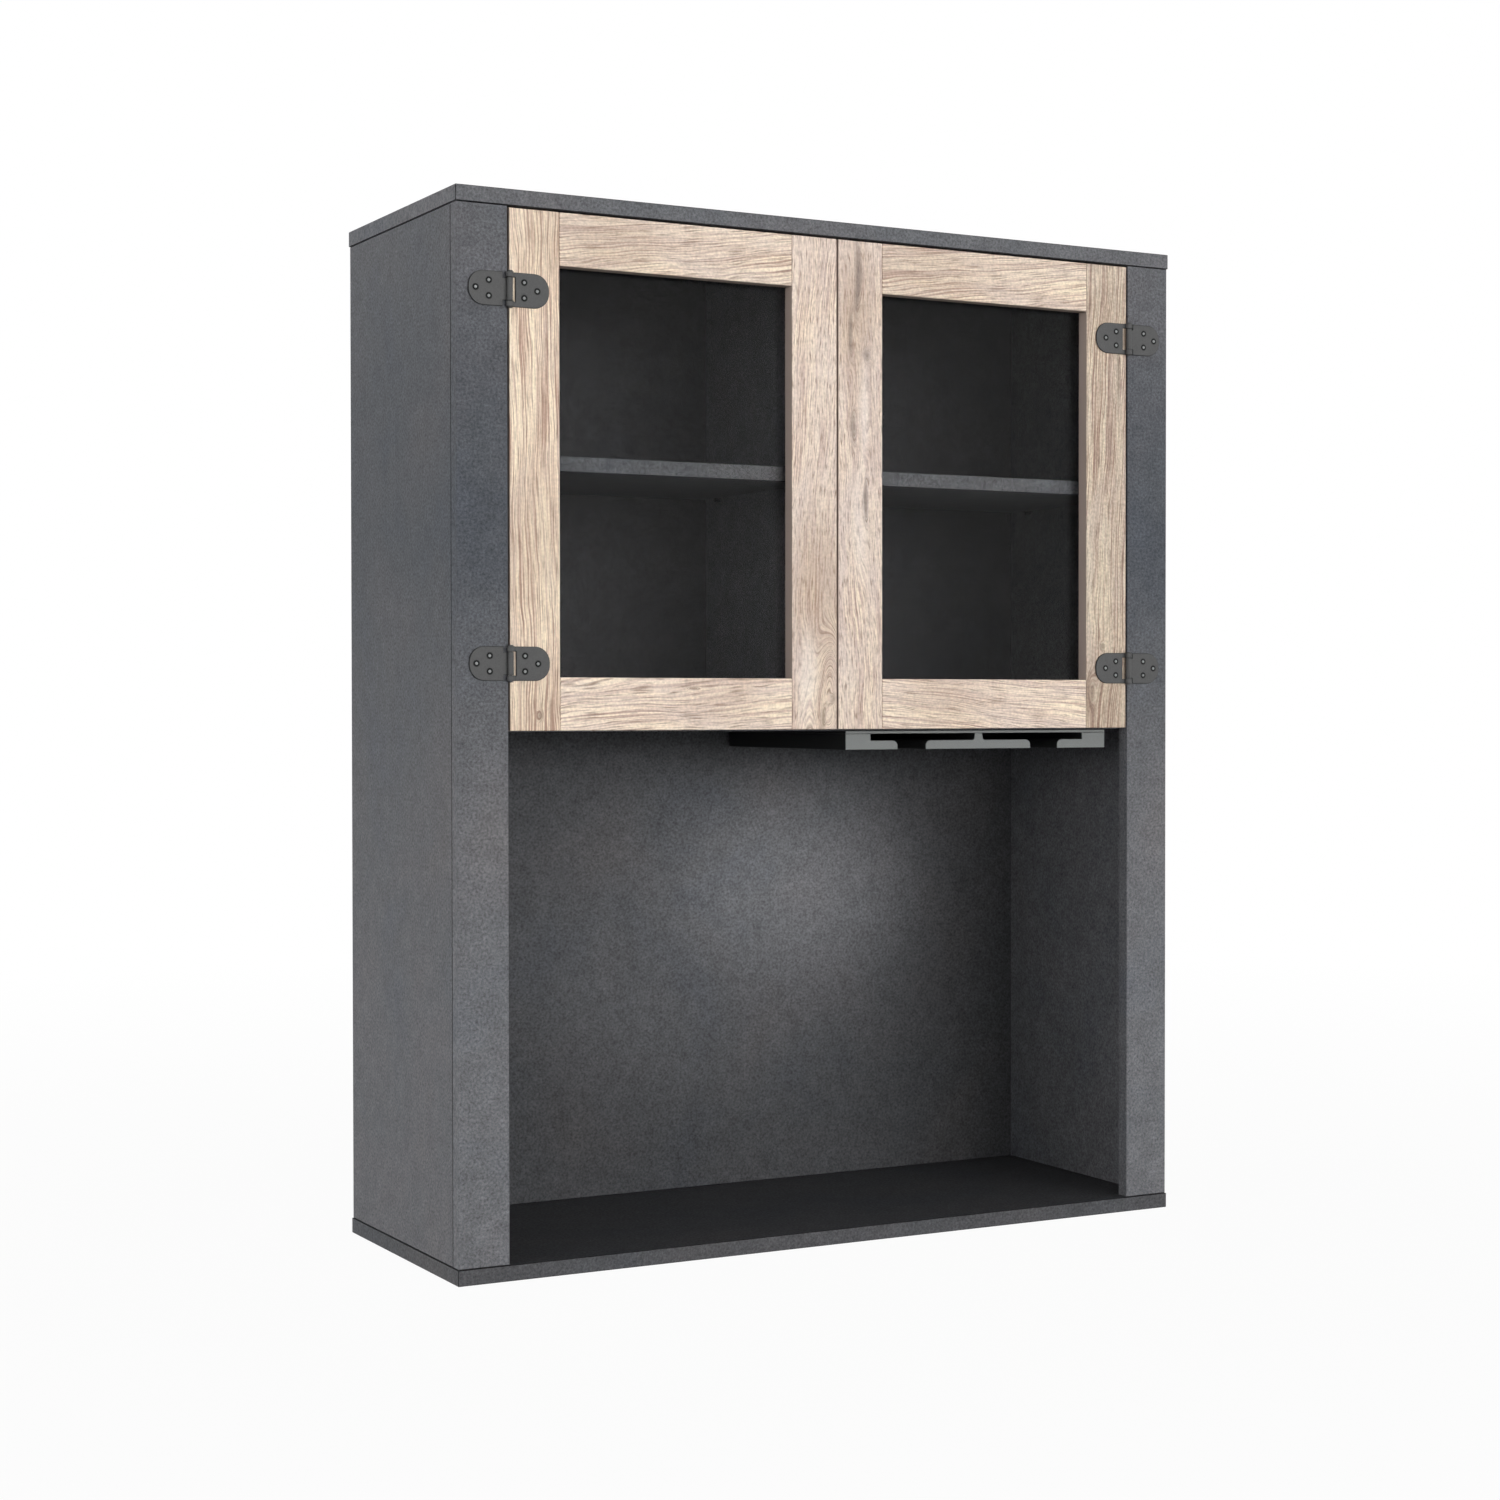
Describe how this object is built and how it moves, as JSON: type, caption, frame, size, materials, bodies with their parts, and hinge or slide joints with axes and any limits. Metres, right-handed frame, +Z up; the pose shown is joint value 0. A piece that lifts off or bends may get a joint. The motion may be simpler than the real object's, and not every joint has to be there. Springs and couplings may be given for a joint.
{
  "type": "bar cabinet with glass doors",
  "caption": "Tall bar cabinet in slate-look laminate: framed glass doors on surface hinges over shelves, an open niche below, and a hanging stem rack under the compartment floor.",
  "frame": {"origin": "on the floor, in the middle of the footprint, hinge barrels included", "axes": "+Z up, +X to the viewer's right when facing the doors, +Y to the back"},
  "size_m": [0.8, 0.3064, 1.015],
  "materials": {
    "slate_laminate": "matt slate-look laminate on particle board",
    "oak_laminate": "rustic oak-look laminate on particle board",
    "clear_glass": "clear float glass, polished",
    "hinge_paint": "matt dark grey paint",
    "hinge_pin_steel": "plain steel, satin",
    "zinc_steel": "zinc plated",
    "magnet": "nickel plated magnet, satin",
    "black_plastic": "matt black",
    "rack_rail": "black faced board with grey sawn ends"
  },
  "bodies": {
    "cabinet": {"bottom_panel": "slate_laminate", "centre_partition": "slate_laminate", "compartment_floor": "slate_laminate", "left_catch_magnet": "magnet", "left_catch_sleeve": "black_plastic", "left_front_stile": "slate_laminate", "left_lower_hinge_frame_leaf": "hinge_paint", "left_shelf": "slate_laminate", "left_shelf_inner_back_pin": "zinc_steel", "left_shelf_inner_front_pin": "zinc_steel", "left_shelf_outer_back_pin": "zinc_steel", "left_shelf_outer_front_pin": "zinc_steel", "left_side_panel": "slate_laminate", "left_upper_hinge_frame_leaf": "hinge_paint", "niche_back_panel": "slate_laminate", "rack_centre_back_screw": "zinc_steel", "rack_centre_front_screw": "zinc_steel", "rack_centre_rail": "rack_rail", "rack_left_back_screw": "zinc_steel", "rack_left_front_screw": "zinc_steel", "rack_left_rail": "rack_rail", "rack_plate": "rack_rail", "rack_right_back_screw": "zinc_steel", "rack_right_front_screw": "zinc_steel", "rack_right_rail": "rack_rail", "right_catch_magnet": "magnet", "right_catch_sleeve": "black_plastic", "right_front_stile": "slate_laminate", "right_lower_hinge_frame_leaf": "hinge_paint", "right_shelf": "slate_laminate", "right_shelf_inner_back_pin": "zinc_steel", "right_shelf_inner_front_pin": "zinc_steel", "right_shelf_outer_back_pin": "zinc_steel", "right_shelf_outer_front_pin": "zinc_steel", "right_side_panel": "slate_laminate", "right_upper_hinge_frame_leaf": "hinge_paint", "top_panel": "slate_laminate", "upper_back_panel": "slate_laminate"},
    "left_door": {"left_door_bottom_rail": "oak_laminate", "left_door_hinge_stile": "oak_laminate", "left_door_meeting_stile": "oak_laminate", "left_door_pane": "clear_glass", "left_door_pane_bead": "black_plastic", "left_door_top_rail": "oak_laminate", "left_lower_hinge_door_leaf": "hinge_paint", "left_lower_hinge_pin": "hinge_pin_steel", "left_strike": "zinc_steel", "left_upper_hinge_door_leaf": "hinge_paint", "left_upper_hinge_pin": "hinge_pin_steel"},
    "right_door": {"right_door_bottom_rail": "oak_laminate", "right_door_hinge_stile": "oak_laminate", "right_door_meeting_stile": "oak_laminate", "right_door_pane": "clear_glass", "right_door_pane_bead": "black_plastic", "right_door_top_rail": "oak_laminate", "right_lower_hinge_door_leaf": "hinge_paint", "right_lower_hinge_pin": "hinge_pin_steel", "right_strike": "zinc_steel", "right_upper_hinge_door_leaf": "hinge_paint", "right_upper_hinge_pin": "hinge_pin_steel"}
  },
  "joints": [
    {"name": "left_door_hinge", "type": "hinge", "parent": "cabinet", "child": "left_door", "pos_m": [-0.348, -0.14965, 0.7555], "axis": [0, 0, -1], "range_deg": [0, 175]},
    {"name": "right_door_hinge", "type": "hinge", "parent": "cabinet", "child": "right_door", "pos_m": [0.348, -0.14965, 0.7555], "axis": [0, 0, 1], "range_deg": [0, 175]}
  ]
}
